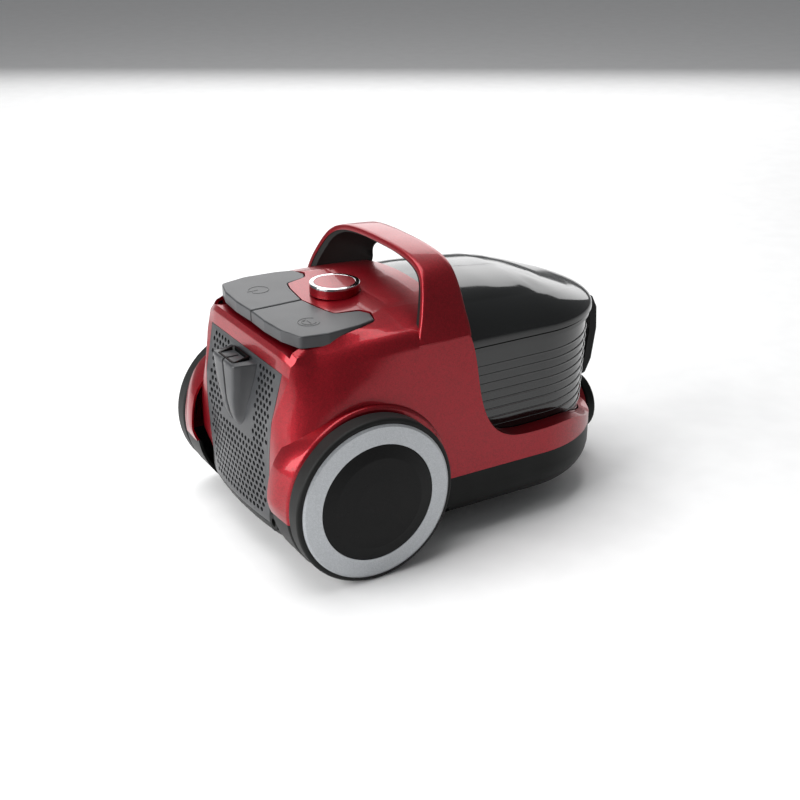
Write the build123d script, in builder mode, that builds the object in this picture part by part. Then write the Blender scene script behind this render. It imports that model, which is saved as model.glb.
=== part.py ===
from build123d import *
# Bagless canister vacuum cleaner, in millimetres.
# +X is the travel direction (hose port end), +Y is left, +Z is up.
# The origin is on the floor below the middle of the whole machine.
import math
import os

os.makedirs("parts", exist_ok=True)

# ---------------------------------------------------------------- driving dimensions
WHEEL_RADIUS = 80.0
AXLE_X = -131.0
TYRE_INNER_Y = 119.5
TYRE_WIDTH = 18.0
TYRE_SECTION = 9.0
TRIM_OUTER_RADIUS = 75.0
TRIM_INNER_RADIUS = 56.7
TRIM_THICKNESS = 2.0
CAP_DOME = 3.5
AXLE_RADIUS = 4.0

HALF_WIDTH = 114.0
NOSE_X = 186.0
REAR_X = -207.0
REAR_ARC_RADIUS = 450.0
CORNER_RADIUS = 62.0
FLOOR_Z = 20.0
BOTTOM_FILLET = 30.0
CROWN_Z = 239.0
CROWN_EDGE_Z = 219.0
SHOULDER_FILLET = 19.0
SKIN = 3.0
SEAM_Z = 68.0
CREST_Z = 95.0
NOSE_CREST_Z = 72.0

FENDER_RADIUS = 84.0
FENDER_X = -127.0
FENDER_OUTER_Y = 118.5
FENDER_INNER_Y = 85.0

BIN_REAR_X = -21.0
BIN_HALF_WIDTH = 98.0
BIN_CENTRE_X = 82.0
BIN_TOP_Z = 188.0
BIN_FLOOR_Z = 42.0
BIN_WALL = 2.5
BIN_TAPER = 2.0
RIM_WIDTH = 2.5
RIM_HEIGHT = 4.0
BIN_CLEARANCE = 1.2

LID_HALF_WIDTH = 101.5
LID_WALL = 2.5
LID_SEAM = 0.4

PORT_Z = 54.0
PORT_BORE_RADIUS = 17.5
PORT_COLLAR_RADIUS = 32.0
PORT_END_X = 203.0

BULKHEAD_X = -28.0
BULKHEAD_THICKNESS = 3.0
DECK_END_X = -24.0

PEDAL_BOTTOM_Z = 218.0
PEDAL_REAR_Z = 228.5
PEDAL_FRONT_Z = 231.0
PEDAL_GAP = 0.8
PEDAL_RECESS_Z = 213.5

KNOB_X = -97.0
KNOB_RADIUS = 24.0
KNOB_BASE_Z = 231.6
KNOB_TOP_Z = 242.0

HANDLE_FOOT_Z = 210.0
HANDLE_CREST_Z = 287.0
HANDLE_BAND = 5.0
HANDLE_REAR_X = -73.0
HANDLE_FRONT_X = -19.5
HANDLE_PAD_Y = 102.0

GRILLE_TOP_Z = 195.0
GRILLE_BOTTOM_Z = 42.0
GRILLE_HALF_WIDTH = 77.0
GRILLE_GAP = 0.5
GRILLE_HOLE_RADIUS = 2.3
GRILLE_PITCH_Y = 7.0
GRILLE_PITCH_Z = 6.2

MOTOR_Y = 40.0
MOTOR_Z = 104.0
MOTOR_RADIUS = 48.0
MOTOR_REAR_X = -150.0
MOTOR_FRONT_X = -52.0

REEL_X = -100.0
REEL_Z = 104.0
REEL_RADIUS = 56.0
REEL_OUTER_Y = -92.0
REEL_INNER_Y = -46.0

CASTER_X = 122.0
CASTER_WHEEL_RADIUS = 12.0
CASTER_TRAIL = 9.0

GAP = 0.3

# ---------------------------------------------------------------- derived values
AXLE_Z = WHEEL_RADIUS
TYRE_OUTER_Y = TYRE_INNER_Y + TYRE_WIDTH
TRIM_OUTER_Y = TYRE_OUTER_Y + TRIM_THICKNESS
CAP_OUTER_Y = TRIM_OUTER_Y + CAP_DOME
NOSE_CENTRE_X = NOSE_X - HALF_WIDTH
AXLE_AXIS = Axis((AXLE_X, 0, AXLE_Z), (0, 1, 0))
AXLE_PLANE = Plane(origin=(AXLE_X, 0, AXLE_Z), x_dir=(0, 1, 0), z_dir=(1, 0, 0))
TALL = 300.0
WIDE = 260.0


def save(part, name):
    """Label one finished sub-part and write its STEP file."""
    part.label = name
    export_step(part, "parts/" + name + ".step")


# ---------------------------------------------------------------- body envelope
def body_outline(inset):
    """Face of the body seen from above, moved in by inset."""
    side = HALF_WIDTH - inset
    rear = REAR_X + inset
    sag = REAR_ARC_RADIUS - math.sqrt(REAR_ARC_RADIUS ** 2 - side ** 2)
    with BuildSketch() as outline:
        with BuildLine():
            Line((rear + sag, side), (NOSE_CENTRE_X, side))
            ThreePointArc((NOSE_CENTRE_X, side), (NOSE_X - inset, 0), (NOSE_CENTRE_X, -side))
            Line((NOSE_CENTRE_X, -side), (rear + sag, -side))
            ThreePointArc((rear + sag, -side), (rear, 0), (rear + sag, side))
        make_face()
        corners = outline.vertices().group_by(Axis.X)[0]
        fillet(corners, CORNER_RADIUS - inset)
    return outline.sketch


def rear_profile(inset):
    """Side view of the body, used to cut the sloping tail and its lip."""
    with BuildSketch() as profile:
        with BuildLine():
            Polyline(
                (REAR_X, FLOOR_Z - 5), (REAR_X, 98), (-200, 150), (-191.5, GRILLE_TOP_Z),
                (-190.6, 208), (-186, 219), (-176, 226), (-150, 228.5), (KNOB_X, 231.5),
                (-75, 233.5), (-50, CROWN_Z), (-20, CROWN_Z + 1), (NOSE_X + 20, CROWN_Z + 1),
                (NOSE_X + 20, FLOOR_Z - 5), close=True,
            )
        make_face()
        soft = [v for v in profile.vertices() if v.X < -20 and v.Y > FLOOR_Z]
        fillet(soft, 6)
        if inset:
            offset(amount=-inset)
    return profile.sketch


def envelope(inset):
    """Solid body shape, moved in by inset all over."""
    side = HALF_WIDTH - inset
    low = FLOOR_Z + inset
    with BuildPart() as solid:
        with BuildSketch(Plane.XY.offset(low)):
            add(body_outline(inset))
        extrude(amount=TALL)
        with BuildSketch(Plane.YZ):
            with BuildLine():
                Line((-side - 1, low - 1), (side + 1, low - 1))
                Line((side + 1, low - 1), (side + 1, CROWN_EDGE_Z - inset))
                ThreePointArc((side + 1, CROWN_EDGE_Z - inset), (0, CROWN_Z - inset),
                              (-side - 1, CROWN_EDGE_Z - inset))
                Line((-side - 1, CROWN_EDGE_Z - inset), (-side - 1, low - 1))
            make_face()
        extrude(amount=TALL, both=True, mode=Mode.INTERSECT)
        fillet(solid.faces().sort_by(Axis.Z)[-1].edges(), SHOULDER_FILLET - inset)
        fillet(solid.faces().sort_by(Axis.Z)[0].edges(), BOTTOM_FILLET - inset)
        with BuildSketch(Plane.XZ):
            add(rear_profile(inset))
        extrude(amount=WIDE, both=True, mode=Mode.INTERSECT)
    return solid.part


def fender_drums(inset):
    """Two drums that carry the body out to the wheels."""
    with BuildPart() as drums:
        for side in (-1, 1):
            depth = FENDER_OUTER_Y - inset - FENDER_INNER_Y
            plane = Plane(origin=(FENDER_X, side * FENDER_INNER_Y, AXLE_Z),
                          x_dir=(1, 0, 0), z_dir=(0, side, 0))
            with BuildSketch(plane):
                Circle(FENDER_RADIUS - inset)
            extrude(amount=depth)
        if not inset:
            rims = drums.edges().filter_by(GeomType.CIRCLE)
            fillet([e for e in rims if abs(e.center().Y) > FENDER_OUTER_Y - 1], 4)
        with BuildSketch(Plane.XY.offset(FLOOR_Z + inset)):
            Rectangle(500, 300)
        extrude(amount=-TALL, mode=Mode.SUBTRACT)
    return drums.part


HULL = envelope(0)
HOLLOW = envelope(SKIN)
DRUMS = fender_drums(0)
DRUM_HOLLOW = fender_drums(SKIN)


# ---------------------------------------------------------------- bin outlines
def bin_outline(inset):
    """Face of the dust bin seen from above at its top, moved in by inset."""
    side = BIN_HALF_WIDTH - inset
    rear = BIN_REAR_X + inset
    with BuildSketch() as outline:
        with BuildLine():
            Line((rear, side), (BIN_CENTRE_X, side))
            ThreePointArc((BIN_CENTRE_X, side), (BIN_CENTRE_X + side, 0), (BIN_CENTRE_X, -side))
            Line((BIN_CENTRE_X, -side), (rear, -side))
            Line((rear, -side), (rear, side))
        make_face()
        fillet(outline.vertices().group_by(Axis.X)[0], max(8 - inset, 2))
    return outline.sketch


def bin_block(inset, bottom):
    """Tapered block the size of the bin, moved in by inset, from its top to bottom."""
    with BuildPart() as block:
        with BuildSketch(Plane.XY.offset(BIN_TOP_Z)):
            add(bin_outline(inset))
        extrude(amount=-(BIN_TOP_Z - bottom), taper=BIN_TAPER)
    return block.part


with BuildPart() as bin_space:
    with BuildSketch(Plane.XY.offset(BIN_TOP_Z - RIM_HEIGHT - 1)):
        add(bin_outline(-RIM_WIDTH - BIN_CLEARANCE))
    extrude(amount=TALL - BIN_TOP_Z)
    with BuildSketch(Plane.XY.offset(BIN_TOP_Z - RIM_HEIGHT - 1)):
        with Locations((DECK_END_X - 10, 0)):
            Rectangle(20, TALL)
    extrude(amount=TALL - BIN_TOP_Z, mode=Mode.SUBTRACT)
    add(bin_block(-BIN_CLEARANCE, BIN_FLOOR_Z - GAP))
BIN_SPACE = bin_space.part
CRADLE_WALL = 2.5
CRADLE_SPACE = bin_block(-BIN_CLEARANCE - CRADLE_WALL, BIN_FLOOR_Z - GAP - CRADLE_WALL)


def above_cradle(drop):
    """Everything above the pillar and bumper line, which is lowered by drop."""
    with BuildPart() as space:
        with BuildSketch(Plane.XZ):
            with BuildLine():
                pillar = Spline((-19.5, 212 - drop), (-12, 189 - drop), (-3, 140 - drop),
                                (9, 113 - drop), (37, CREST_Z + 1 - drop))
                crest = Spline(pillar @ 1, (80, CREST_Z - drop), (120, CREST_Z - 3 - drop),
                               (158, 77 - drop), (NOSE_X + 4, NOSE_CREST_Z - drop),
                               tangents=[pillar % 1, (1, -0.05)])
                Polyline(crest @ 1, (NOSE_X + 30, NOSE_CREST_Z - drop), (NOSE_X + 30, TALL),
                         (DECK_END_X, TALL), (DECK_END_X, 216), pillar @ 0)
            make_face()
        extrude(amount=WIDE, both=True)
    return space.part


# ---------------------------------------------------------------- pedals outline
def pedal_outline(side, grow):
    """Face of one pedal seen from above; side is +1 left and -1 right."""
    with BuildSketch() as outline:
        with BuildLine():
            Polyline(
                (-184, side * 0.8), (-185, side * 30), (-183, side * 60), (-176, side * 84),
                (-150, side * 90), (-118, side * 87), (-101, side * 82), (-96, side * 66),
                (-101, side * 55), (-123, side * 49), (-127, side * 35), (-132, side * 0.8),
                close=True,
            )
        make_face()
        sharp = [v for v in outline.vertices() if abs(v.Y) > 20]
        fillet(sharp, 5)
        if grow:
            offset(amount=grow)
    return outline.sketch


def pedal_recess(grow, low):
    """Space for both pedals from low up past the deck."""
    with BuildPart() as space:
        with BuildSketch(Plane.XY.offset(low)):
            add(pedal_outline(1, grow))
            add(pedal_outline(-1, grow))
            with Locations((-160, 0)):
                Rectangle(54, 8)
            with Locations((-190, 0)):
                Rectangle(50, 168)
        extrude(amount=TALL - low)
    return space.part


# ---------------------------------------------------------------- rear grille window
def grille_window(gap):
    """Prism along X through the tail, gap smaller than the window all round."""
    top = GRILLE_HALF_WIDTH - gap
    low = GRILLE_HALF_WIDTH - 15 - gap
    with BuildPart() as prism:
        with BuildSketch(Plane.YZ.offset(-240)):
            with BuildLine():
                Polyline((-top, GRILLE_TOP_Z - gap), (top, GRILLE_TOP_Z - gap),
                         (low, GRILLE_BOTTOM_Z + gap), (-low, GRILLE_BOTTOM_Z + gap), close=True)
            make_face()
        extrude(amount=70)
    return prism.part


# ---------------------------------------------------------------- shared shell work
LOW = (Align.CENTER, Align.CENTER, Align.MIN)
CORNER = (Align.MIN, Align.MIN, Align.MIN)


def cylinder_x(radius, x0, x1, y, z):
    """Solid cylinder along X, made outside any builder."""
    return Pos(x0, y, z) * Rot(0, 90, 0) * Cylinder(
        radius, x1 - x0, align=LOW, mode=Mode.PRIVATE)


def cylinder_y(radius, y0, y1, x, z):
    """Solid cylinder along Y, made outside any builder."""
    return Pos(x, y1, z) * Rot(90, 0, 0) * Cylinder(
        radius, y1 - y0, align=LOW, mode=Mode.PRIVATE)


def cylinder_z(radius, z0, z1, x, y):
    """Solid cylinder along Z, made outside any builder."""
    return Pos(x, y, z0) * Cylinder(
        radius, z1 - z0, align=LOW, mode=Mode.PRIVATE)


def block(x0, x1, y0, y1, z0, z1):
    """Solid box between two corners, made outside any builder."""
    return Pos(x0, y0, z0) * Box(
        x1 - x0, y1 - y0, z1 - z0, align=CORNER, mode=Mode.PRIVATE)


DUCT_RADIUS = 20.0
PORT_HOLE = cylinder_x(DUCT_RADIUS + GAP, 150, NOSE_X + 10, 0, PORT_Z)
AIR_RADIUS = 34.0
AIR_HOLE = cylinder_x(AIR_RADIUS, BULKHEAD_X - 2, BIN_REAR_X + 0.2, MOTOR_Y, MOTOR_Z)
BUSH_Y = -75.5
BUSH_Z = 50.0
BUSH_RADIUS = 8.0
SCREW_PLACES = [(-38, 105), (-38, -105), (-163, 110), (-163, -110)]
BOSS_RADIUS = 7.0
SCREW_RADIUS = 2.0
SCREW_HEAD_RADIUS = 4.0
SCREW_HEAD_Z = 40.0
SCREW_TOP_Z = 88.0
PEDAL_HINGE_X = -108.0
PEDAL_HINGE_Z = 222.5
PIN_RADIUS = 1.5
PIN_CLEARANCE = 0.08
PLUNGER_X = -150.0
SWITCH_Y = 50.0
SWITCH_STEM_RADIUS = 3.0
BRAKE_Y = -47.0
STEM_CLEARANCE = 0.4
BELOW_SEAM = block(-300, 300, -200, 200, -50, SEAM_Z)
PEDAL_PIN_SPAN = (50.0, 88.0)

with BuildPart() as cavity:
    add(HOLLOW)
    add(DRUM_HOLLOW)
    add(above_cradle(SKIN), mode=Mode.SUBTRACT)
    add(CRADLE_SPACE, mode=Mode.SUBTRACT)
    add(pedal_recess(PEDAL_GAP + SKIN, PEDAL_RECESS_Z - SKIN), mode=Mode.SUBTRACT)

with BuildPart() as outer:
    add(HULL)
    add(DRUMS)
    for side in (-1, 1):
        low, high = sorted((side * HANDLE_PAD_Y, side * HALF_WIDTH))
        add(block(HANDLE_REAR_X, HANDLE_FRONT_X, low, high, 190, HANDLE_FOOT_Z))
OUTER = outer.part

with BuildPart() as casing:
    add(OUTER)
    add(above_cradle(0), mode=Mode.SUBTRACT)
    add(cavity.part, mode=Mode.SUBTRACT)
    add(BIN_SPACE, mode=Mode.SUBTRACT)
    add(pedal_recess(PEDAL_GAP, PEDAL_RECESS_Z), mode=Mode.SUBTRACT)
    add(grille_window(0), mode=Mode.SUBTRACT)
    add(PORT_HOLE, mode=Mode.SUBTRACT)
    add(AIR_HOLE, mode=Mode.SUBTRACT)

# ---------------------------------------------------------------- upper shell
with BuildPart() as upper_shell:
    add(casing.part)
    for x, y in SCREW_PLACES:
        add(cylinder_z(BOSS_RADIUS, SEAM_Z, SCREW_TOP_Z + 3, x, y))
    add(BELOW_SEAM - CRADLE_SPACE, mode=Mode.SUBTRACT)
    add(cylinder_z(KNOB_RADIUS + 0.6, KNOB_BASE_Z - GAP, TALL, KNOB_X, 0), mode=Mode.SUBTRACT)
    add(cylinder_z(3.4, 200, TALL, KNOB_X, 0), mode=Mode.SUBTRACT)
    for side in (-1, 1):
        low, high = sorted((side * PEDAL_PIN_SPAN[0], side * PEDAL_PIN_SPAN[1]))
        add(cylinder_y(PIN_RADIUS, low, high, PEDAL_HINGE_X, PEDAL_HINGE_Z), mode=Mode.SUBTRACT)
    add(cylinder_y(AXLE_RADIUS + 0.5, -130, 130, AXLE_X, AXLE_Z), mode=Mode.SUBTRACT)
    add(cylinder_z(SWITCH_STEM_RADIUS + STEM_CLEARANCE, 205, 216, PLUNGER_X, SWITCH_Y),
        mode=Mode.SUBTRACT)
    add(block(PLUNGER_X - 3.4, PLUNGER_X + 3.4, BRAKE_Y - 4.4, BRAKE_Y + 4.4, 205, 216),
        mode=Mode.SUBTRACT)
    for x, y in SCREW_PLACES:
        add(cylinder_z(SCREW_RADIUS, SEAM_Z, SCREW_TOP_Z, x, y), mode=Mode.SUBTRACT)
save(upper_shell.part, "upper_shell")

# ---------------------------------------------------------------- base tray
FILTER_WALL_X = -173.7
AXLE_POST = 10.0
AXLE_POST_Y = (98.0, 112.0)
REEL_POST = 10.0
REEL_AXLE_RADIUS = 5.0
POCKET_RADIUS = 30.0
POCKET_Z = 31.5
CASTER_STEM_RADIUS = 4.0

with BuildPart() as base_tray:
    add(casing.part)
    add(block(-300, 300, -200, 200, SEAM_Z, TALL + 50), mode=Mode.SUBTRACT)
    add(CRADLE_SPACE, mode=Mode.SUBTRACT)
    # wall that carries the exhaust filter
    add(block(FILTER_WALL_X, FILTER_WALL_X + SKIN, -90, 90, FLOOR_Z + 1, 186))
    add(block(FILTER_WALL_X - 1, FILTER_WALL_X + SKIN + 1, -58, 58, 70, 170), mode=Mode.SUBTRACT)
    # saddles under the motor
    for x in (-140, -75):
        add(block(x, x + 6, MOTOR_Y - 44, MOTOR_Y + 44, FLOOR_Z + 1, MOTOR_Z - 28))
    # posts for the reel axle
    add(block(REEL_X - REEL_POST, REEL_X + REEL_POST, REEL_INNER_Y + 2, REEL_INNER_Y + 8,
              FLOOR_Z + 1, REEL_Z + 10))
    add(block(REEL_X - REEL_POST, REEL_X + REEL_POST, REEL_OUTER_Y - 6, REEL_OUTER_Y - 2,
              FLOOR_Z + 1, REEL_Z + 10))
    # posts for the wheel axles
    for side in (-1, 1):
        low, high = sorted((side * AXLE_POST_Y[0], side * AXLE_POST_Y[1]))
        add(block(AXLE_X - AXLE_POST, AXLE_X + AXLE_POST, low, high, FLOOR_Z + 1, AXLE_Z + 12))
    # screw bosses and the caster pocket
    for x, y in SCREW_PLACES:
        add(cylinder_z(BOSS_RADIUS, FLOOR_Z + 1, SEAM_Z, x, y))
    add(cylinder_z(POCKET_RADIUS + SKIN, FLOOR_Z, POCKET_Z + 4.5, CASTER_X, 0))
    add(OUTER, mode=Mode.INTERSECT)
    add(cylinder_z(POCKET_RADIUS, -10, POCKET_Z, CASTER_X, 0), mode=Mode.SUBTRACT)
    add(cylinder_z(CASTER_STEM_RADIUS + 0.06, 0, 50, CASTER_X, 0), mode=Mode.SUBTRACT)
    add(cylinder_x(MOTOR_RADIUS + GAP, -165, -40, MOTOR_Y, MOTOR_Z), mode=Mode.SUBTRACT)
    add(cylinder_y(REEL_AXLE_RADIUS, -120, 0, REEL_X, REEL_Z), mode=Mode.SUBTRACT)
    add(cylinder_y(AXLE_RADIUS, -130, 130, AXLE_X, AXLE_Z), mode=Mode.SUBTRACT)
    for x, y in SCREW_PLACES:
        add(cylinder_z(SCREW_RADIUS, 0, SEAM_Z, x, y), mode=Mode.SUBTRACT)
        add(cylinder_z(SCREW_HEAD_RADIUS + 0.5, 0, SCREW_HEAD_Z + 3, x, y), mode=Mode.SUBTRACT)
    add(cylinder_x(BUSH_RADIUS, -215, -180, BUSH_Y, BUSH_Z), mode=Mode.SUBTRACT)
save(base_tray.part, "base_tray")

# ---------------------------------------------------------------- carry handle
def arch_outline(inset):
    """Closed front view of the carry handle arch, moved in by inset."""
    half = [(HALF_WIDTH, 190), (HALF_WIDTH, HANDLE_FOOT_Z - 4), (98, 266), (52, 283)]
    with BuildSketch() as outline:
        with BuildLine():
            Polyline(half)
            ThreePointArc((52, 283), (0, HANDLE_CREST_Z), (-52, 283))
            Polyline([(-y, z) for y, z in reversed(half)])
            Line((-HALF_WIDTH, 190), (HALF_WIDTH, 190))
        make_face()
        fillet([v for v in outline.vertices() if abs(v.Y - 266) < 1], 24)
        if inset:
            offset(amount=-inset)
    return outline.sketch


def handle_side(inset):
    """Prism along Y with the side view of the carry handle, moved in by inset."""
    with BuildPart() as prism:
        with BuildSketch(Plane.XZ):
            with BuildLine():
                Polyline((HANDLE_REAR_X + inset, 180), (HANDLE_REAR_X + inset, 212),
                         (-68 + inset, 232), (-59 + inset, 252), (-52 + inset, 272),
                         (-50 + inset, TALL), (-29 - inset, TALL), (-25.5 - inset, 240),
                         (HANDLE_FRONT_X - inset, HANDLE_FOOT_Z),
                         (HANDLE_FRONT_X - inset, 180), close=True)
            make_face()
        extrude(amount=WIDE, both=True)
    return prism.part


def hand_gap():
    """Space under the carry handle, wider at the back than at the front."""
    rear = [(101, 200), (98, 240), (81, 263), (45, 276)]
    front = [(79, 200), (73, 235), (61, 250), (42, 258)]
    with BuildPart() as gap:
        for x, half in ((-76, rear), (-18, front)):
            with BuildSketch(Plane.YZ.offset(x)):
                with BuildLine():
                    Polyline(half + [(-y, z) for y, z in reversed(half)], close=True)
                make_face()
        loft(ruled=True)
    return gap.part


with BuildPart() as handle_cover:
    with BuildSketch(Plane.YZ.offset(-90)):
        add(arch_outline(0))
    extrude(amount=90)
    with BuildSketch(Plane.YZ.offset(-90)):
        add(arch_outline(HANDLE_BAND))
    extrude(amount=90, mode=Mode.SUBTRACT)
    add(block(-100, 10, -105, 105, 150, 200), mode=Mode.SUBTRACT)
    add(handle_side(0), mode=Mode.INTERSECT)
    add(OUTER, mode=Mode.SUBTRACT)
    add(block(-100, 10, -200, 200, 100, HANDLE_FOOT_Z), mode=Mode.SUBTRACT)
save(handle_cover.part, "handle_cover")

with BuildPart() as handle_grip:
    with BuildSketch(Plane.YZ.offset(-90)):
        add(arch_outline(HANDLE_BAND))
    extrude(amount=90)
    add(hand_gap(), mode=Mode.SUBTRACT)
    add(handle_side(1), mode=Mode.INTERSECT)
    add(OUTER, mode=Mode.SUBTRACT)
    add(block(-100, 10, -200, 200, 100, HANDLE_FOOT_Z), mode=Mode.SUBTRACT)
save(handle_grip.part, "handle_grip")

# ---------------------------------------------------------------- speed knob and its electronics
RING_RADIUS = 19.5
RING_HEIGHT = 2.5
POT_RADIUS = 8.0
BOARD_Z = 205.0
BOARD_THICKNESS = 1.6
DECK_UNDER_Z = 228.0
STEM_RADIUS = 3.0

with BuildPart() as speed_knob:
    add(cylinder_z(KNOB_RADIUS, KNOB_BASE_Z, KNOB_TOP_Z - RING_HEIGHT, KNOB_X, 0))
    add(cylinder_z(RING_RADIUS - 0.1, KNOB_BASE_Z, KNOB_TOP_Z, KNOB_X, 0))
    add(cylinder_z(RING_RADIUS, KNOB_BASE_Z - 1, KNOB_TOP_Z - 4, KNOB_X, 0), mode=Mode.SUBTRACT)
    add(cylinder_z(STEM_RADIUS, BOARD_Z + 12, KNOB_TOP_Z - 3, KNOB_X, 0))
save(speed_knob.part, "speed_knob")

with BuildPart() as knob_trim_ring:
    add(cylinder_z(KNOB_RADIUS, KNOB_TOP_Z - RING_HEIGHT, KNOB_TOP_Z, KNOB_X, 0))
    add(cylinder_z(RING_RADIUS, KNOB_TOP_Z - 5, KNOB_TOP_Z + 5, KNOB_X, 0), mode=Mode.SUBTRACT)
    fillet(knob_trim_ring.edges().group_by(Axis.Z)[-1], 0.8)
save(knob_trim_ring.part, "knob_trim_ring")

with BuildPart() as control_board:
    add(block(KNOB_X - 29, KNOB_X + 29, -22, 22, BOARD_Z, BOARD_Z + BOARD_THICKNESS))
save(control_board.part, "control_board")

with BuildPart() as potentiometer:
    add(cylinder_z(POT_RADIUS, BOARD_Z + BOARD_THICKNESS, DECK_UNDER_Z, KNOB_X, 0))
    add(cylinder_z(STEM_RADIUS + 0.06, BOARD_Z + 10, DECK_UNDER_Z + 1, KNOB_X, 0),
        mode=Mode.SUBTRACT)
save(potentiometer.part, "potentiometer")

# ---------------------------------------------------------------- pedals and what they work
SPRING_X = -165.0
SPRING_Y = 40.0
PEDAL_NAMES = {1: "power_pedal", -1: "rewind_pedal"}

for side, pedal_name in PEDAL_NAMES.items():
    pin_low, pin_high = sorted((side * 45, side * 100))
    with BuildPart() as pedal:
        with BuildSketch(Plane.XY.offset(PEDAL_BOTTOM_Z)):
            add(pedal_outline(side, 0))
        extrude(amount=20)
        with BuildSketch(Plane.XZ):
            with BuildLine():
                Polyline((-200, PEDAL_BOTTOM_Z - 1), (-200, PEDAL_REAR_Z), (-80, PEDAL_FRONT_Z),
                         (-80, PEDAL_BOTTOM_Z - 1), close=True)
            make_face()
        extrude(amount=WIDE, both=True, mode=Mode.INTERSECT)
        fillet(pedal.faces().sort_by(Axis.Z)[-1].edges(), 1.5)
        add(cylinder_y(PIN_RADIUS + PIN_CLEARANCE, pin_low, pin_high, PEDAL_HINGE_X,
                       PEDAL_HINGE_Z), mode=Mode.SUBTRACT)
    save(pedal.part, pedal_name)

with BuildPart() as pedal_pins:
    for side in (-1, 1):
        low, high = sorted((side * PEDAL_PIN_SPAN[0], side * PEDAL_PIN_SPAN[1]))
        add(cylinder_y(PIN_RADIUS, low, high, PEDAL_HINGE_X, PEDAL_HINGE_Z))
save(pedal_pins.part, "pedal_pins")

for side, pedal_name in PEDAL_NAMES.items():
    centre = (SPRING_X, side * SPRING_Y, PEDAL_RECESS_Z + 0.7)
    with BuildPart() as pedal_spring:
        with BuildLine() as coil:
            Helix(pitch=1.4, height=2.8, radius=4, center=centre)
        with BuildSketch(Plane(origin=coil.line @ 0, z_dir=coil.line % 0)):
            Circle(0.4)
        sweep(is_frenet=True)
    save(pedal_spring.part, pedal_name + "_spring")

FLOOR_UNDER_Z = PEDAL_RECESS_Z - SKIN
with BuildPart() as power_switch:
    add(block(PLUNGER_X - 9, PLUNGER_X + 9, SWITCH_Y - 11, SWITCH_Y + 11, 188, FLOOR_UNDER_Z))
    add(cylinder_z(SWITCH_STEM_RADIUS + STEM_CLEARANCE, 200, 220, PLUNGER_X, SWITCH_Y),
        mode=Mode.SUBTRACT)
save(power_switch.part, "power_switch")

with BuildPart() as switch_plunger:
    add(cylinder_z(SWITCH_STEM_RADIUS, 203.5, PEDAL_BOTTOM_Z - 0.4, PLUNGER_X, SWITCH_Y))
save(switch_plunger.part, "switch_plunger")

BRAKE_LOW_Z = 143.5
with BuildPart() as brake_plunger:
    add(block(PLUNGER_X - 3, PLUNGER_X + 3, BRAKE_Y - 4, BRAKE_Y + 4, BRAKE_LOW_Z,
              PEDAL_BOTTOM_Z - 0.4))
    add(block(PLUNGER_X - 6, PLUNGER_X + 6, BRAKE_Y - 4, BRAKE_Y + 4, BRAKE_LOW_Z,
              BRAKE_LOW_Z + 6))
save(brake_plunger.part, "brake_plunger")

# ---------------------------------------------------------------- rear grille and exhaust filter
HOLE_MARGIN = 7.0


def bracket_wedge(inset):
    """Tapered parking bracket shape on the tail, moved in by inset."""
    with BuildPart() as wedge:
        with BuildSketch(Plane.XZ):
            with BuildLine():
                Polyline((-185, 187 - inset), (-211 + inset, 184 - inset), (-209.5 + inset, 128),
                         (-206 + inset, 122 + inset), (-185, 122 + inset), close=True)
            make_face()
        extrude(amount=40, both=True)
        with BuildSketch(Plane.YZ.offset(-230)):
            with BuildLine():
                Polyline((-28 + inset, 200), (28 - inset, 200), (15 - inset, 110),
                         (-15 + inset, 110), close=True)
            make_face()
        extrude(amount=60, mode=Mode.INTERSECT)
    return wedge.part


def grille_hole_places():
    """Y and Z of each exhaust hole, in staggered rows inside the panel's margin."""
    places = []
    rows = int((GRILLE_TOP_Z - GRILLE_BOTTOM_Z - 2 * HOLE_MARGIN) / GRILLE_PITCH_Z)
    for row in range(rows + 1):
        z = GRILLE_TOP_Z - HOLE_MARGIN - row * GRILLE_PITCH_Z
        share = (z - GRILLE_BOTTOM_Z) / (GRILLE_TOP_Z - GRILLE_BOTTOM_Z)
        reach = GRILLE_HALF_WIDTH - 15 * (1 - share) - HOLE_MARGIN
        columns = int(reach / GRILLE_PITCH_Y)
        shift = 0.5 * GRILLE_PITCH_Y * (row % 2)
        for column in range(-columns, columns + 1):
            y = column * GRILLE_PITCH_Y + shift
            behind_bracket = abs(y) < 34 and 116 < z < 196
            if abs(y) <= reach and not behind_bracket:
                places.append((y, z))
    return places


with BuildPart() as rear_grille:
    add(HULL)
    add(HOLLOW, mode=Mode.SUBTRACT)
    add(grille_window(GRILLE_GAP), mode=Mode.INTERSECT)
    with BuildSketch(Plane.YZ.offset(-230)):
        with Locations(grille_hole_places()):
            Circle(GRILLE_HOLE_RADIUS)
    extrude(amount=60, mode=Mode.SUBTRACT)
save(rear_grille.part, "rear_grille")

with BuildPart() as parking_bracket:
    add(bracket_wedge(0))
    add(HULL, mode=Mode.SUBTRACT)
    add(block(-208.5, -180, -12, 12, 132, 220), mode=Mode.SUBTRACT)
    add(block(-230, -200, -3, 3, 136, 220), mode=Mode.SUBTRACT)
save(parking_bracket.part, "parking_bracket")

with BuildPart() as filter_frame:
    add(block(FILTER_WALL_X - GAP - 12, FILTER_WALL_X - GAP, -66, 66, 62, 178))
    add(block(FILTER_WALL_X - 20, FILTER_WALL_X + 5, -61, 61, 67, 173), mode=Mode.SUBTRACT)
save(filter_frame.part, "filter_frame")

with BuildPart() as filter_media:
    with BuildSketch(Plane.XY.offset(67.2)):
        with BuildLine():
            teeth = [(FILTER_WALL_X - GAP - (2 if n % 2 else 8), -60.5 + 5.5 * n)
                     for n in range(23)]
            back = [(x - 1.5, y) for x, y in reversed(teeth)]
            Polyline(teeth + back, close=True)
        make_face()
    extrude(amount=105.6)
save(filter_media.part, "filter_media")

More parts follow.
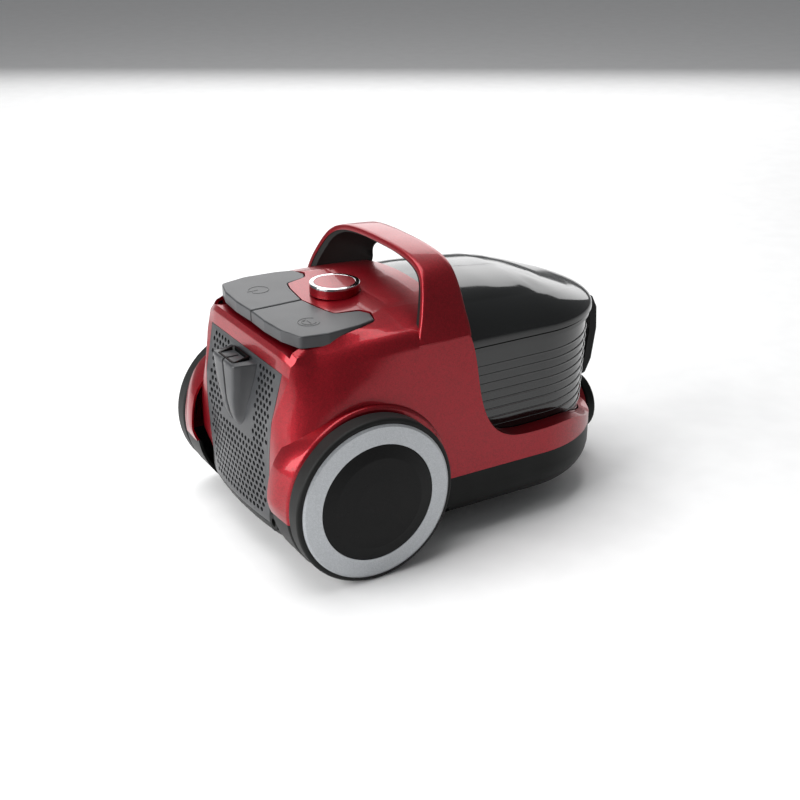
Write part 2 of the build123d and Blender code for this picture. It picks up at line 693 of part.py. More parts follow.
with BuildPart() as cord_bush:
    add(cylinder_x(BUSH_RADIUS - 0.05, -205, -187, BUSH_Y, BUSH_Z))
    add(cylinder_x(BUSH_RADIUS + 2.5, -190, -187, BUSH_Y, BUSH_Z))
    add(cylinder_x(4.0, -220, -180, BUSH_Y, BUSH_Z), mode=Mode.SUBTRACT)
save(cord_bush.part, "cord_bush")

# ---------------------------------------------------------------- bulkhead, motor and filter
BULKHEAD_SPACE = envelope(SKIN + GAP)
BULKHEAD_END_X = BULKHEAD_X + BULKHEAD_THICKNESS
FILTER_RADIUS = 42.0
COVER_DEPTH = 7.0
SHAFT_RADIUS = 4.0

with BuildPart() as bulkhead:
    add(block(BULKHEAD_X, BULKHEAD_END_X, -WIDE, WIDE, 0, TALL))
    add(BULKHEAD_SPACE, mode=Mode.INTERSECT)
    add(cylinder_x(AIR_RADIUS, -40, -10, MOTOR_Y, MOTOR_Z), mode=Mode.SUBTRACT)
    for x, y in SCREW_PLACES:
        add(cylinder_z(BOSS_RADIUS + GAP, 0, TALL, x, y), mode=Mode.SUBTRACT)
save(bulkhead.part, "bulkhead")

with BuildPart() as motor_filter_frame:
    add(cylinder_x(FILTER_RADIUS, BULKHEAD_X - 8, BULKHEAD_X, MOTOR_Y, MOTOR_Z))
    add(cylinder_x(FILTER_RADIUS - 4, -60, -10, MOTOR_Y, MOTOR_Z), mode=Mode.SUBTRACT)
save(motor_filter_frame.part, "motor_filter_frame")

with BuildPart() as motor_filter_foam:
    add(cylinder_x(FILTER_RADIUS - 4, BULKHEAD_X - 7.5, BULKHEAD_X - 0.5, MOTOR_Y, MOTOR_Z))
save(motor_filter_foam.part, "motor_filter_foam")

MOUNT_X = BULKHEAD_X - 8
with BuildPart() as front_mount:
    add(cylinder_x(FILTER_RADIUS + 2, MOTOR_FRONT_X + COVER_DEPTH, MOUNT_X, MOTOR_Y, MOTOR_Z))
    add(cylinder_x(FILTER_RADIUS - 8, -100, 0, MOTOR_Y, MOTOR_Z), mode=Mode.SUBTRACT)
save(front_mount.part, "front_mount")

with BuildPart() as motor_end_cover:
    add(cylinder_x(MOTOR_RADIUS, MOTOR_FRONT_X, MOTOR_FRONT_X + COVER_DEPTH, MOTOR_Y, MOTOR_Z))
    with BuildSketch(Plane.YZ.offset(MOTOR_FRONT_X - 5)):
        with Locations((MOTOR_Y, MOTOR_Z)):
            with PolarLocations(20, 8):
                SlotOverall(22, 8)
    extrude(amount=30, mode=Mode.SUBTRACT)
    add(cylinder_x(SHAFT_RADIUS + 0.05, -70, -40, MOTOR_Y, MOTOR_Z), mode=Mode.SUBTRACT)
save(motor_end_cover.part, "motor_end_cover")

with BuildPart() as motor_housing:
    add(cylinder_x(MOTOR_RADIUS, MOTOR_REAR_X, MOTOR_FRONT_X, MOTOR_Y, MOTOR_Z))
    add(cylinder_x(MOTOR_RADIUS - 3, MOTOR_REAR_X + 3, MOTOR_FRONT_X + 1, MOTOR_Y, MOTOR_Z),
        mode=Mode.SUBTRACT)
    with BuildSketch(Plane.YZ.offset(MOTOR_REAR_X - 5)):
        with Locations((MOTOR_Y, MOTOR_Z)):
            with PolarLocations(28, 6):
                Circle(6)
    extrude(amount=12, mode=Mode.SUBTRACT)
    add(cylinder_x(SHAFT_RADIUS + 0.05, -160, -140, MOTOR_Y, MOTOR_Z), mode=Mode.SUBTRACT)
save(motor_housing.part, "motor_housing")

with BuildPart() as rear_mount:
    add(cylinder_x(MOTOR_RADIUS - 28, MOTOR_REAR_X - 20, MOTOR_REAR_X, MOTOR_Y, MOTOR_Z))
    add(cylinder_x(SHAFT_RADIUS + 3, -190, -140, MOTOR_Y, MOTOR_Z), mode=Mode.SUBTRACT)
save(rear_mount.part, "rear_mount")

with BuildPart() as motor_rotor:
    add(cylinder_x(SHAFT_RADIUS, MOTOR_REAR_X - 2, MOTOR_FRONT_X + 5, MOTOR_Y, MOTOR_Z))
    add(cylinder_x(24, -130, -84, MOTOR_Y, MOTOR_Z))
    add(cylinder_x(12, -142, -132, MOTOR_Y, MOTOR_Z))
save(motor_rotor.part, "motor_rotor")

with BuildPart() as motor_fan:
    add(cylinder_x(41, -70, -68, MOTOR_Y, MOTOR_Z))
    with BuildSketch(Plane.YZ.offset(-68)):
        with Locations((MOTOR_Y, MOTOR_Z)):
            with PolarLocations(25, 9):
                Rectangle(28, 2, rotation=35)
    extrude(amount=10)
    add(cylinder_x(10, -72, -58, MOTOR_Y, MOTOR_Z))
    add(cylinder_x(SHAFT_RADIUS, -80, -50, MOTOR_Y, MOTOR_Z), mode=Mode.SUBTRACT)
save(motor_fan.part, "motor_fan")

# ---------------------------------------------------------------- cord reel
with BuildPart() as cord_reel:
    add(cylinder_y(REEL_RADIUS, REEL_OUTER_Y, REEL_OUTER_Y + 2, REEL_X, REEL_Z))
    add(cylinder_y(REEL_RADIUS, REEL_INNER_Y - 2, REEL_INNER_Y, REEL_X, REEL_Z))
    add(cylinder_y(24, REEL_OUTER_Y, REEL_INNER_Y, REEL_X, REEL_Z))
    add(cylinder_y(REEL_AXLE_RADIUS + 0.06, -110, 0, REEL_X, REEL_Z), mode=Mode.SUBTRACT)
save(cord_reel.part, "cord_reel")

with BuildPart() as reel_axle:
    add(cylinder_y(REEL_AXLE_RADIUS, REEL_OUTER_Y - 6, REEL_INNER_Y + 8, REEL_X, REEL_Z))
save(reel_axle.part, "reel_axle")

# ---------------------------------------------------------------- dust bin
HINGE_RADIUS = 2.5
LID_AXIS_X = 186.5
LID_AXIS_Z = 189.0
KNUCKLE = 6.0
KNUCKLE_END = 13.0
INLET_Z = 58.0
INLET_RADIUS = 11.5
BIN_OUTER = bin_block(0, BIN_FLOOR_Z)

with BuildPart() as bin_bucket:
    add(BIN_OUTER)
    with BuildSketch(Plane.XY.offset(BIN_TOP_Z - RIM_HEIGHT)):
        add(bin_outline(-RIM_WIDTH))
    extrude(amount=RIM_HEIGHT)
    for side in (-1, 1):
        low, high = sorted((side * (KNUCKLE + GAP), side * KNUCKLE_END))
        add(block(176, LID_AXIS_X, low, high, BIN_TOP_Z - RIM_HEIGHT, BIN_TOP_Z))
        add(cylinder_y(HINGE_RADIUS, low, high, LID_AXIS_X, LID_AXIS_Z))
    add(bin_block(BIN_WALL, BIN_FLOOR_Z + 3), mode=Mode.SUBTRACT)
    add(cylinder_y(PIN_RADIUS, -20, 20, LID_AXIS_X, LID_AXIS_Z), mode=Mode.SUBTRACT)
    add(cylinder_x(INLET_RADIUS, 150, 190, 0, INLET_Z), mode=Mode.SUBTRACT)
    add(cylinder_x(AIR_RADIUS - 2, -40, -5, MOTOR_Y, MOTOR_Z), mode=Mode.SUBTRACT)
save(bin_bucket.part, "bin_bucket")

with BuildPart() as lid_hinge_pin:
    add(cylinder_y(PIN_RADIUS, -KNUCKLE_END, KNUCKLE_END, LID_AXIS_X, LID_AXIS_Z))
save(lid_hinge_pin.part, "lid_hinge_pin")


def lid_block(inset):
    """Outer shape of the bin lid, moved in by inset from above and at the sides."""
    side = LID_HALF_WIDTH - inset
    with BuildPart() as lid:
        with BuildSketch(Plane.XY.offset(BIN_TOP_Z - 2)):
            add(bin_outline(BIN_HALF_WIDTH - side))
        extrude(amount=60)
        with BuildSketch(Plane.XZ):
            with BuildLine():
                Polyline((-40, 180), (-40, CROWN_Z + 1 - inset), (20, CROWN_Z + 1 - inset))
                Spline((20, CROWN_Z + 1 - inset), (81, 233 - inset), (132, 216 - inset),
                       (LID_AXIS_X - 2, 194 - inset), tangents=[(1, 0), (1, -0.5)])
                Polyline((LID_AXIS_X - 2, 194 - inset), (LID_AXIS_X + 4, 180), (-40, 180))
            make_face()
        extrude(amount=WIDE, both=True, mode=Mode.INTERSECT)
        with BuildSketch(Plane.YZ.offset(-60)):
            with BuildLine():
                edge = [(-side - 1, 180), (-side - 1, 197 - inset), (-91 + inset, 221 - inset)]
                Polyline(edge)
                ThreePointArc(edge[-1], (0, CROWN_Z + 0.5 - inset), (91 - inset, 221 - inset))
                Polyline([(-y, z) for y, z in reversed(edge)])
                Line((side + 1, 180), (-side - 1, 180))
            make_face()
        extrude(amount=TALL, mode=Mode.INTERSECT)
        add(block(-100, -22.5 + inset, -WIDE, WIDE, 0, TALL), mode=Mode.SUBTRACT)
        add(block(-100, 300, -WIDE, WIDE, 0, BIN_TOP_Z + LID_SEAM - inset), mode=Mode.SUBTRACT)
    return lid.part


with BuildPart() as bin_lid:
    add(lid_block(0))
    add(lid_block(LID_WALL), mode=Mode.SUBTRACT)
    add(block(LID_AXIS_X - 5, LID_AXIS_X, -KNUCKLE, KNUCKLE, LID_AXIS_Z, LID_AXIS_Z + HINGE_RADIUS))
    add(cylinder_y(HINGE_RADIUS, -KNUCKLE, KNUCKLE, LID_AXIS_X, LID_AXIS_Z))
    add(cylinder_y(PIN_RADIUS + PIN_CLEARANCE, -20, 20, LID_AXIS_X, LID_AXIS_Z),
        mode=Mode.SUBTRACT)
save(bin_lid.part, "bin_lid")

with BuildPart() as lid_seal:
    with BuildSketch(Plane.XY.offset(BIN_TOP_Z + GAP)):
        add(bin_outline(-0.7))
        with Locations((BIN_REAR_X - 8.7, 0)):
            Rectangle(20, TALL, mode=Mode.SUBTRACT)
        with BuildSketch(mode=Mode.SUBTRACT):
            add(bin_outline(1.8))
            with Locations((BIN_REAR_X - 6.2, 0)):
                Rectangle(20, TALL, mode=Mode.SUBTRACT)
    extrude(amount=3)
save(lid_seal.part, "lid_seal")

with BuildSketch() as handle_loop:
    with BuildLine():
        Polyline((160, 183.5), (183.5, 183.5), (184.5, 186), (191, 185.5), (203, 178),
                 (209.5, 165), (211, 141), (206, 107), (199, 92), (188, 89), (160, 89),
                 close=True)
    make_face()
    with BuildLine():
        Polyline((160, 176), (188, 176), (197, 171), (201.5, 161), (202, 141),
                 (197.5, 110), (192, 98), (160, 98), close=True)
    make_face(mode=Mode.SUBTRACT)
    fillet([v for v in handle_loop.vertices() if v.X > 186], 3)

with BuildPart() as bin_handle:
    with BuildSketch(Plane.XZ):
        add(handle_loop.sketch)
    extrude(amount=15, both=True)
    add(bin_block(0, BIN_FLOOR_Z), mode=Mode.SUBTRACT)
    add(block(150, 189.6, -WIDE, WIDE, BIN_TOP_Z - RIM_HEIGHT, TALL), mode=Mode.SUBTRACT)
    add(block(203, 220, -6.5, 6.5, 150, 168), mode=Mode.SUBTRACT)
save(bin_handle.part, "bin_handle")

with BuildPart() as bin_release_button:
    add(block(205.4, 210.6, -6.2, 6.2, 150.3, 167.7))
save(bin_release_button.part, "bin_release_button")

CYCLONE_X = BIN_CENTRE_X
with BuildPart() as cyclone_cone:
    with BuildSketch(Plane.XZ):
        with BuildLine():
            Polyline((CYCLONE_X + 12, BIN_FLOOR_Z + 3), (CYCLONE_X + 14, BIN_FLOOR_Z + 3),
                     (CYCLONE_X + 34, 150), (CYCLONE_X + 32, 150), close=True)
        make_face()
    revolve(axis=Axis((CYCLONE_X, 0, 0), (0, 0, 1)))
save(cyclone_cone.part, "cyclone_cone")

with BuildPart() as cyclone_shroud:
    add(cylinder_z(38, 100, 184, CYCLONE_X, 0))
    add(cylinder_z(36, 90, 182, CYCLONE_X, 0), mode=Mode.SUBTRACT)
    add(cylinder_z(37, 150, 152, CYCLONE_X, 0))
    add(cylinder_z(31, 140, 160, CYCLONE_X, 0), mode=Mode.SUBTRACT)
    add(cylinder_z(15, 132, 184, CYCLONE_X, 0))
    add(cylinder_z(13, 120, 190, CYCLONE_X, 0), mode=Mode.SUBTRACT)
    with BuildSketch(Plane.XY.offset(106)):
        with Locations((CYCLONE_X, 0)):
            with PolarLocations(37, 40):
                Rectangle(6, 2.4)
    extrude(amount=38, mode=Mode.SUBTRACT)
save(cyclone_shroud.part, "cyclone_shroud")

# ---------------------------------------------------------------- hose port
SNOUT_RADIUS = 30.0
SNOUT_END_X = 192.0
with BuildPart() as port_snout:
    add(cylinder_x(SNOUT_RADIUS, 168, SNOUT_END_X, 0, PORT_Z))
    add(HULL, mode=Mode.SUBTRACT)
    add(cylinder_x(DUCT_RADIUS + GAP, 100, 220, 0, PORT_Z), mode=Mode.SUBTRACT)
save(port_snout.part, "port_snout")

with BuildPart() as port_collar:
    add(cylinder_x(PORT_COLLAR_RADIUS, SNOUT_END_X, PORT_END_X, 0, PORT_Z))
    fillet(port_collar.edges().filter_by(GeomType.CIRCLE), 2.5)
    add(cylinder_x(DUCT_RADIUS, SNOUT_END_X - 8, PORT_END_X - 3, 0, PORT_Z))
    add(cylinder_x(PORT_BORE_RADIUS, 150, 220, 0, PORT_Z), mode=Mode.SUBTRACT)
save(port_collar.part, "port_collar")

with BuildPart() as inlet_duct:
    add(cylinder_x(DUCT_RADIUS, 150, SNOUT_END_X - 8, 0, PORT_Z))
    add(cylinder_x(DUCT_RADIUS - 1.5, 140, 220, 0, PORT_Z), mode=Mode.SUBTRACT)
    add(bin_block(-BIN_CLEARANCE, 20), mode=Mode.SUBTRACT)
save(inlet_duct.part, "inlet_duct")

# ---------------------------------------------------------------- caster
WHEEL_HALF = 9.0
CHEEK = 2.7
CASTER_AXLE_RADIUS = 2.0
TRAIL_X = CASTER_X - CASTER_TRAIL
with BuildPart() as caster_fork:
    add(cylinder_z(CASTER_STEM_RADIUS, POCKET_Z - 2, POCKET_Z + 4.3, CASTER_X, 0))
    add(block(TRAIL_X - 9, CASTER_X + 9, -WHEEL_HALF - 1 - CHEEK, WHEEL_HALF + 1 + CHEEK,
              POCKET_Z - 3.7, POCKET_Z - GAP))
    for side in (-1, 1):
        low, high = sorted((side * (WHEEL_HALF + 1), side * (WHEEL_HALF + 1 + CHEEK)))
        add(block(TRAIL_X - 5, TRAIL_X + 6, low, high, CASTER_WHEEL_RADIUS - 4, POCKET_Z - 3))
    add(cylinder_y(CASTER_AXLE_RADIUS, -20, 20, TRAIL_X, CASTER_WHEEL_RADIUS), mode=Mode.SUBTRACT)
save(caster_fork.part, "caster_fork")

with BuildPart() as caster_axle:
    add(cylinder_y(CASTER_AXLE_RADIUS, -WHEEL_HALF - 1 - CHEEK, WHEEL_HALF + 1 + CHEEK, TRAIL_X,
                   CASTER_WHEEL_RADIUS))
save(caster_axle.part, "caster_axle")

with BuildPart() as caster_wheel:
    add(cylinder_y(CASTER_WHEEL_RADIUS, -WHEEL_HALF, WHEEL_HALF, TRAIL_X, CASTER_WHEEL_RADIUS))
    fillet(caster_wheel.edges().filter_by(GeomType.CIRCLE), 1.5)
    add(cylinder_y(CASTER_AXLE_RADIUS + 0.06, -20, 20, TRAIL_X, CASTER_WHEEL_RADIUS),
        mode=Mode.SUBTRACT)
save(caster_wheel.part, "caster_wheel")


# ---------------------------------------------------------------- road wheels
HUB_RADIUS = 13.0
RIM_OUTER = WHEEL_RADIUS - TYRE_SECTION
TYRE_ROUND = 3.0


def turned(points, side):
    """Part turned about the axle from (width, radius) points on the given side."""
    with BuildPart() as turning:
        with BuildSketch(AXLE_PLANE):
            with BuildLine():
                Polyline([(side * width, radius) for width, radius in points], close=True)
            make_face()
        revolve(axis=AXLE_AXIS)
    return turning.part


for side, place in ((1, "left"), (-1, "right")):
    with BuildPart() as tyre:
        add(turned([(TYRE_INNER_Y, RIM_OUTER), (TYRE_OUTER_Y, RIM_OUTER),
                    (TYRE_OUTER_Y, WHEEL_RADIUS), (TYRE_INNER_Y, WHEEL_RADIUS)], side))
        outer_edges = tyre.edges().filter_by(GeomType.CIRCLE).sort_by(SortBy.RADIUS)[-2:]
        fillet(outer_edges, TYRE_ROUND)
    save(tyre.part, "tyre_" + place)

    web = TYRE_INNER_Y + 6
    with BuildPart() as rim:
        add(turned([(TYRE_INNER_Y, AXLE_RADIUS + 0.06), (TYRE_OUTER_Y - 4, AXLE_RADIUS + 0.06),
                    (TYRE_OUTER_Y - 4, HUB_RADIUS), (web + 4, HUB_RADIUS),
                    (web + 4, RIM_OUTER - 5), (TYRE_OUTER_Y, RIM_OUTER - 5),
                    (TYRE_OUTER_Y, RIM_OUTER), (TYRE_INNER_Y, RIM_OUTER),
                    (TYRE_INNER_Y, RIM_OUTER - 5), (web, RIM_OUTER - 5),
                    (web, HUB_RADIUS), (TYRE_INNER_Y, HUB_RADIUS)], side))
    save(rim.part, "rim_" + place)

    with BuildPart() as trim:
        add(turned([(TYRE_OUTER_Y, TRIM_INNER_RADIUS), (TYRE_OUTER_Y, TRIM_OUTER_RADIUS),
                    (TYRE_OUTER_Y + 0.8, TRIM_OUTER_RADIUS), (TRIM_OUTER_Y, TRIM_OUTER_RADIUS - 2),
                    (TRIM_OUTER_Y + 0.6, TRIM_INNER_RADIUS)], side))
    save(trim.part, "trim_ring_" + place)

    with BuildPart() as cap:
        add(turned([(web + 4, 0), (web + 4, 10), (TYRE_OUTER_Y - 3, 10),
                    (TYRE_OUTER_Y - 3, TRIM_INNER_RADIUS - 0.3),
                    (TRIM_OUTER_Y + 0.4, TRIM_INNER_RADIUS - 0.3), (CAP_OUTER_Y - 0.8, 44),
                    (CAP_OUTER_Y, 22), (CAP_OUTER_Y, 0)], side))
        low, high = sorted((side * 100, side * (TYRE_OUTER_Y - 1)))
        add(cylinder_y(HUB_RADIUS + 0.1, low, high, AXLE_X, AXLE_Z), mode=Mode.SUBTRACT)
    save(cap.part, "wheel_cap_" + place)

    low, high = sorted((side * AXLE_POST_Y[0], side * (TYRE_OUTER_Y - 3.5)))
    with BuildPart() as axle:
        add(cylinder_y(AXLE_RADIUS, low, high, AXLE_X, AXLE_Z))
    save(axle.part, "axle_" + place)

# ---------------------------------------------------------------- screws
with BuildPart() as shell_screws:
    for x, y in SCREW_PLACES:
        add(cylinder_z(SCREW_HEAD_RADIUS, SCREW_HEAD_Z, SCREW_HEAD_Z + 3, x, y))
        add(cylinder_z(SCREW_RADIUS, SCREW_HEAD_Z + 2, SCREW_TOP_Z, x, y))
save(shell_screws.part, "shell_screws")
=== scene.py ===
import math

import bmesh
import bpy
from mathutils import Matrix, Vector


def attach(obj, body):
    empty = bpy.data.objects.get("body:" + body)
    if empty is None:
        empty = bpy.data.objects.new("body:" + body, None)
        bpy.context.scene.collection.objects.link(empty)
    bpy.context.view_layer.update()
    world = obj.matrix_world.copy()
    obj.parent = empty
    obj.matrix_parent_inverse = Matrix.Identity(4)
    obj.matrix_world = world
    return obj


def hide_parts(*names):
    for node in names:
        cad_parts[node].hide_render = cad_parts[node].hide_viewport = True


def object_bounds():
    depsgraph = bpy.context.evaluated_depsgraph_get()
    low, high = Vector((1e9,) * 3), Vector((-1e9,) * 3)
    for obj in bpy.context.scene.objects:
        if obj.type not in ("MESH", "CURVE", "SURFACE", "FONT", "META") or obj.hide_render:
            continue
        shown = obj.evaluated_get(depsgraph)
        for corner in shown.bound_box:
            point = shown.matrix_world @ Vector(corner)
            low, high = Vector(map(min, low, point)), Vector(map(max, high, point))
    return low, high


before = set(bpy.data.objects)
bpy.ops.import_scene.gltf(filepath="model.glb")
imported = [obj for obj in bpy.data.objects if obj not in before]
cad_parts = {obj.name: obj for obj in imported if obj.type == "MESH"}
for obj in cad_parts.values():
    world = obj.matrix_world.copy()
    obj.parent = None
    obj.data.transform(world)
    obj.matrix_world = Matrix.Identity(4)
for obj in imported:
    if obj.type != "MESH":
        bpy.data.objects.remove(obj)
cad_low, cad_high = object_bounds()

MM = 0.001


# ------------------------------------------------------------------ materials
def linear(code):
    """An sRGB hex colour as linear RGBA."""
    parts = [int(code[i:i + 2], 16) / 255 for i in (1, 3, 5)]
    return [c / 12.92 if c <= 0.04045 else ((c + 0.055) / 1.055) ** 2.4 for c in parts] + [1.0]


def add_node(material, kind, inputs=None, **settings):
    """Adds one node. An input given an output socket is linked, any other value is set on it."""
    tree = material.node_tree
    node = tree.nodes.new(kind)
    for key, value in settings.items():
        setattr(node, key, value)
    for key, value in (inputs or {}).items():
        if isinstance(value, bpy.types.NodeSocket):
            tree.links.new(value, node.inputs[key])
        else:
            node.inputs[key].default_value = value
    return node


def start_material(name):
    material = bpy.data.materials.new(name)
    material.use_nodes = True
    material.node_tree.nodes.clear()
    coords = add_node(material, "ShaderNodeTexCoord").outputs["Object"]
    return material, coords


def finish_material(material, shader_inputs):
    shader = add_node(material, "ShaderNodeBsdfPrincipled", shader_inputs)
    add_node(material, "ShaderNodeOutputMaterial", {"Surface": shader.outputs["BSDF"]})
    return material


def two_tones(material, factor, low, high, start=0.35, end=0.65):
    """A colour that runs from low to high as factor does."""
    ramp = add_node(material, "ShaderNodeValToRGB", {"Fac": factor})
    ramp.color_ramp.elements[0].position = start
    ramp.color_ramp.elements[0].color = linear(low)
    ramp.color_ramp.elements[1].position = end
    ramp.color_ramp.elements[1].color = linear(high)
    return ramp.outputs["Color"]


def rough_range(material, factor, low, high):
    return add_node(material, "ShaderNodeMapRange",
                    {"Value": factor, "To Min": low, "To Max": high}).outputs["Result"]


def bump(material, height, strength, distance):
    return add_node(material, "ShaderNodeBump",
                    {"Height": height, "Strength": strength, "Distance": distance}).outputs["Normal"]


def noise(material, coords, size_mm, detail=2.0):
    """Noise whose blots are about size_mm across."""
    return add_node(material, "ShaderNodeTexNoise",
                    {"Vector": coords, "Scale": 1.0 / (size_mm * MM), "Detail": detail}).outputs["Fac"]


def metallic_red_lacquer():
    # ABS shell sprayed with red metallic lacquer under clear varnish: fine flakes glint in a
    # deep red, mirror-like varnish on top. The real flakes are 0.05 mm; they are drawn at 0.9 mm.
    material, coords = start_material("metallic_red_lacquer")
    flakes = add_node(material, "ShaderNodeTexVoronoi", {"Vector": coords, "Scale": 1100.0})
    tint = two_tones(material, flakes.outputs["Color"], "#7C0513", "#98091B", 0.2, 0.9)
    peel = noise(material, coords, 5.0, 1.0)
    return finish_material(material, {
        "Base Color": tint, "Metallic": 0.7,
        "Roughness": rough_range(material, flakes.outputs["Distance"], 0.32, 0.40),
        "Coat Weight": 0.42, "Coat Roughness": 0.05, "Coat IOR": 1.45,
        "Coat Normal": bump(material, peel, 0.02, 0.0004)})


def moulded_abs(name, low, high, roughness, grain_mm, depth, gloss=0.5):
    # Injection-moulded ABS: an even spark-eroded grain that dulls the shine and barely varies the tone.
    material, coords = start_material(name)
    grain = noise(material, coords, grain_mm, 3.0)
    cloud = noise(material, coords, 30.0, 2.0)
    return finish_material(material, {
        "Base Color": two_tones(material, cloud, low, high),
        "Roughness": rough_range(material, grain, roughness - 0.05, roughness + 0.07),
        "Specular IOR Level": gloss, "Normal": bump(material, grain, 0.25, depth)})


def smoked_polycarbonate(name, code, roughness):
    # Clear polycarbonate tinted almost black: glassy, dark through its thickness.
    material, coords = start_material(name)
    haze = noise(material, coords, 18.0, 2.0)
    return finish_material(material, {
        "Base Color": linear(code), "IOR": 1.58, "Transmission Weight": 0.12,
        "Roughness": rough_range(material, haze, roughness, roughness + 0.03)})


def tyre_rubber():
    # Moulded thermoplastic rubber: matt, faintly dusty, with a soft sheen at grazing angles.
    material, coords = start_material("tyre_rubber")
    grain = noise(material, coords, 0.8, 3.0)
    dust = noise(material, coords, 12.0, 3.0)
    return finish_material(material, {
        "Base Color": two_tones(material, dust, "#0A0B0A", "#101110"),
        "Sheen Weight": 0.05, "Specular IOR Level": 0.2,
        "Roughness": rough_range(material, grain, 0.5, 0.62), "Normal": bump(material, grain, 0.3, 0.0001)})


def silver_paint():
    # ABS ring painted silver: aluminium flake gives a satin metal without a sharp mirror.
    material, coords = start_material("silver_painted_abs")
    flakes = add_node(material, "ShaderNodeTexVoronoi", {"Vector": coords, "Scale": 1400.0})
    return finish_material(material, {
        "Base Color": two_tones(material, flakes.outputs["Color"], "#A6A9AC", "#B7BABD", 0.2, 0.9),
        "Metallic": 0.75, "Roughness": 0.42,
        "Normal": bump(material, flakes.outputs["Distance"], 0.03, 0.0001)})


def chrome_plate():
    # Chromed ABS: a hard bright mirror with the faintest waviness.
    material, coords = start_material("chrome_plated_abs")
    wave = noise(material, coords, 6.0, 1.0)
    return finish_material(material, {
        "Base Color": linear("#DADCDE"), "Metallic": 1.0, "Roughness": 0.08,
        "Normal": bump(material, wave, 0.03, 0.0002)})


def brushed_steel(name, low, high, roughness):
    # Turned or drawn steel: fine lines stretch along the part.
    material, coords = start_material(name)
    lines = add_node(material, "ShaderNodeMapping", {"Vector": coords, "Scale": (1.0, 1.0, 12.0)})
    grain = noise(material, lines.outputs["Vector"], 1.5, 3.0)
    return finish_material(material, {
        "Base Color": two_tones(material, grain, low, high), "Metallic": 1.0,
        "Roughness": rough_range(material, grain, roughness - 0.05, roughness + 0.1)})


def pleated_paper():
    # Filter paper: off-white fibres, fully matt.
    material, coords = start_material("filter_paper")
    fibre = noise(material, coords, 1.2, 4.0)
    return finish_material(material, {
        "Base Color": two_tones(material, fibre, "#CFCBBE", "#E4E1D6"), "Roughness": 0.9,
        "Normal": bump(material, fibre, 0.4, 0.0002)})


def open_foam():
    # Open-cell polyurethane foam: pores about 1.5 mm across, their darker grey painted shade inside the
    # holes.
    material, coords = start_material("polyurethane_foam")
    cells = add_node(material, "ShaderNodeTexVoronoi", {"Vector": coords, "Scale": 650.0})
    return finish_material(material, {
        # darker grey at the pore centres is painted shade in the pits that the bump sinks
        "Base Color": two_tones(material, cells.outputs["Distance"], "#3A3B3D", "#6B6D70", 0.1, 0.7),
        "Roughness": 0.95, "Normal": bump(material, cells.outputs["Distance"], 0.7, 0.0005)})


def board_laminate():
    # Glass-epoxy board under green solder resist: glossy green with a faint weave.
    material, coords = start_material("epoxy_board")
    weave = add_node(material, "ShaderNodeTexWave", {"Vector": coords, "Scale": 400.0, "Distortion": 1.0})
    return finish_material(material, {
        "Base Color": two_tones(material, weave.outputs["Fac"], "#154A26", "#1E6033"), "Roughness": 0.35})


FINISHES = {
    "red_gloss": metallic_red_lacquer(),
    "black_gloss": moulded_abs("polished_black_abs", "#040505", "#070707", 0.24, 2.0, 0.00002, 0.15),
    "black_satin": moulded_abs("satin_black_abs", "#0A0B0A", "#0F100F", 0.42, 0.7, 0.00004, 0.15),
    "grey_satin": moulded_abs("satin_grey_abs", "#2E2F31", "#37383A", 0.36, 0.7, 0.00006, 0.4),
    "smoked_clear": smoked_polycarbonate("smoked_polycarbonate", "#111313", 0.07),
    "tyre_rubber": tyre_rubber(),
    "trim_silver": silver_paint(),
    "chrome_trim": chrome_plate(),
    "steel": brushed_steel("bright_steel", "#9A9DA1", "#B9BCC0", 0.25),
    "soft_rubber": moulded_abs("soft_black_rubber", "#101110", "#171817", 0.6, 0.9, 0.0001, 0.2),
    "inner_grey": moulded_abs("moulded_grey_abs", "#4A4C4E", "#56585A", 0.5, 1.0, 0.0001),
    "motor_steel": brushed_steel("zinc_plated_steel", "#8B8D8E", "#A9ABAC", 0.38),
    "copper_core": brushed_steel("copper_winding", "#A5562F", "#C9774A", 0.3),
    "filter_paper": pleated_paper(),
    "foam": open_foam(),
    "board_green": board_laminate(),
}

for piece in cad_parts.values():
    bpy.context.view_layer.objects.active = piece
    for index, filled in enumerate(piece.material_slots):
        piece.material_slots[index].material = FINISHES[filled.material.name.split(".")[0]]
bpy.ops.object.select_all(action="DESELECT")


# ------------------------------------------------------------------ shaping tools
def ramp_up(value, low, high):
    """0 below low, 1 above high, smooth between."""
    t = min(max((value - low) / (high - low), 0.0), 1.0)
    return t * t * (3.0 - 2.0 * t)


def table_at(rows, key, column):
    """A value read between the rows of a table whose first column rises."""
    for before, after in zip(rows, rows[1:]):
        if key <= after[0]:
            share = (key - before[0]) / (after[0] - before[0])
            return before[column] + share * (after[column] - before[column])
    return rows[-1][column]


def finish_piece(piece, body, slot_name, angle=35.0, replaced=()):
    """Smooths a piece, gives it its finish and lets it ride on its body."""
    bpy.ops.object.select_all(action="DESELECT")
    bpy.context.view_layer.objects.active = piece
    piece.select_set(True)
    bpy.ops.object.shade_smooth_by_angle(angle=math.radians(angle))
    piece.select_set(False)
    piece.data.materials.clear()
    piece.data.materials.append(FINISHES[slot_name])
    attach(piece, body)
    if replaced:
        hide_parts(*replaced)
    return piece


def join_rings(shape, rings, closed=True, capped=True):
    """Adds a surface through rings of points in millimetres, each joined to the next."""
    rows = [[shape.verts.new(Vector(p) * MM) for p in ring] for ring in rings]
    count = len(rows[0])
    for low, high in zip(rows, rows[1:]):
        for i in range(count if closed else count - 1):
            j = (i + 1) % count
            shape.faces.new((low[i], low[j], high[j], high[i]))
    if capped:
        shape.faces.new(list(reversed(rows[0])))
        shape.faces.new(rows[-1])


